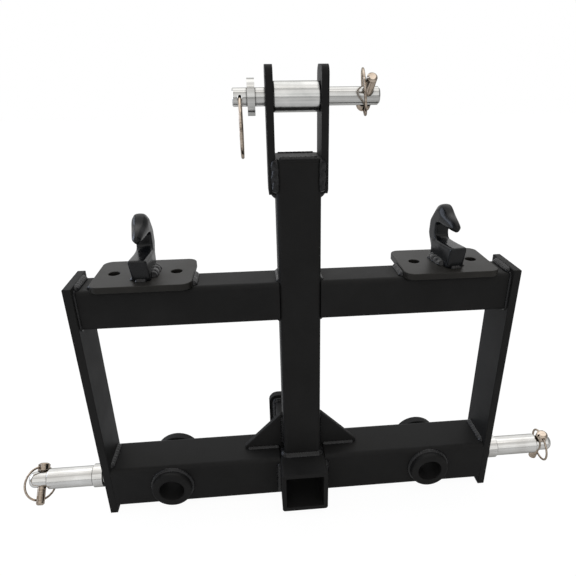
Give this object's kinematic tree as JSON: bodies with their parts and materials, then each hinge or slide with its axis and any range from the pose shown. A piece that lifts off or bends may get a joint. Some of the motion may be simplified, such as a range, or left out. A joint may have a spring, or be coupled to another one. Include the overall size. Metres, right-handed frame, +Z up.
{
  "type": "three-point receiver hitch",
  "caption": "Welded tractor hitch frame with lower hitch pins, a top-link clevis, a receiver tube, spear sleeves and chain grab hooks.",
  "frame": {"origin": "middle of the receiver's cross hole, on the receiver's own middle line", "axes": "+X to the right seen from the tractor, along the lower pins; +Y to the rear, out of the receiver's mouth; +Z up"},
  "size_m": [0.776, 0.189, 0.577],
  "materials": {
    "black_paint": "satin black powder coat",
    "painted_weld": "satin black powder coat over rippled weld",
    "painted_forging": "glossy black powder coat over a forging",
    "bright_zinc": "bright zinc plate",
    "nickel": "pale yellow zinc plate"
  },
  "bodies": {
    "frame": {"side_plate_left": "black_paint", "side_plate_right": "black_paint", "top_beam_left": "black_paint", "top_beam_right": "black_paint", "lower_beam_left": "black_paint", "lower_beam_right": "black_paint", "mast_post": "black_paint", "mast_cap": "black_paint", "clevis_ear_left": "black_paint", "clevis_ear_right": "black_paint", "gusset_left": "black_paint", "gusset_right": "black_paint", "receiver_tube": "black_paint", "receiver_collar": "black_paint", "spear_sleeve_left": "black_paint", "spear_sleeve_right": "black_paint", "hook_plate_left": "black_paint", "hook_plate_right": "black_paint", "chain_hook_left": "painted_forging", "chain_hook_right": "painted_forging", "lower_pin_left": "bright_zinc", "lower_pin_right": "bright_zinc", "weld_top_beam": "painted_weld", "weld_lower_beam": "painted_weld", "weld_mast_foot": "painted_weld", "weld_clevis": "painted_weld", "weld_hook_plates": "painted_weld", "weld_hooks": "painted_weld", "weld_spear_sleeves": "painted_weld", "weld_lower_pins": "painted_weld", "weld_collar": "painted_weld"},
    "lower_sleeve_left": {"lower_sleeve_left": "bright_zinc"},
    "lower_sleeve_right": {"lower_sleeve_right": "bright_zinc"},
    "linchpin_left": {"lower_linchpin_left": "nickel"},
    "linchpin_right": {"lower_linchpin_right": "nickel"},
    "ring_left": {"lower_ring_left": "nickel"},
    "ring_right": {"lower_ring_right": "nickel"},
    "top_pin": {"top_pin": "bright_zinc"},
    "top_sleeve": {"top_sleeve": "bright_zinc"},
    "pull_ring": {"top_pull_ring": "nickel"},
    "top_linchpin": {"top_linchpin": "nickel"},
    "top_ring": {"top_ring": "nickel"}
  },
  "joints": [
    {"name": "lower_sleeve_left_turn", "type": "hinge", "parent": "frame", "child": "lower_sleeve_left", "pos_m": [-0.32905, -0.066, 0], "axis": [1, 0, 0], "continuous": true},
    {"name": "lower_sleeve_right_turn", "type": "hinge", "parent": "frame", "child": "lower_sleeve_right", "pos_m": [0.32905, -0.066, 0], "axis": [1, 0, 0], "continuous": true},
    {"name": "linchpin_left_pull", "type": "slide", "parent": "frame", "child": "linchpin_left", "axis": [0, 0.7431, 0.6691], "range_m": [0, 0.011]},
    {"name": "ring_left_swing", "type": "hinge", "parent": "linchpin_left", "child": "ring_left", "pos_m": [-0.37, -0.05344, 0.01131], "axis": [0.6157, 0.5273, -0.5856], "range_deg": [0, 160]},
    {"name": "linchpin_right_pull", "type": "slide", "parent": "frame", "child": "linchpin_right", "axis": [0, -0.2419, 0.9703], "range_m": [0, 0.014]},
    {"name": "ring_right_swing", "type": "hinge", "parent": "linchpin_right", "child": "ring_right", "pos_m": [0.37, -0.07009, 0.0164], "axis": [0, -0.9703, -0.2419], "range_deg": [0, 160]},
    {"name": "top_pin_slide", "type": "slide", "parent": "frame", "child": "top_pin", "axis": [1, 0, 0], "range_m": [-0.03355, 0.0105]},
    {"name": "top_sleeve_turn", "type": "hinge", "parent": "frame", "child": "top_sleeve", "pos_m": [0, -0.066, 0.502], "axis": [1, 0, 0], "continuous": true},
    {"name": "pull_ring_swing", "type": "hinge", "parent": "top_pin", "child": "pull_ring", "pos_m": [-0.0605, -0.066, 0.502], "axis": [0, 1, 0], "range_deg": [-20, 80]},
    {"name": "top_linchpin_pull", "type": "slide", "parent": "top_pin", "child": "top_linchpin", "axis": [0, 0.8192, -0.5736], "range_m": [0, 0.008]},
    {"name": "top_ring_swing", "type": "hinge", "parent": "top_linchpin", "child": "top_ring", "pos_m": [0.077, -0.05345, 0.49321], "axis": [0, -0.5736, -0.8192], "range_deg": [0, 30]}
  ]
}
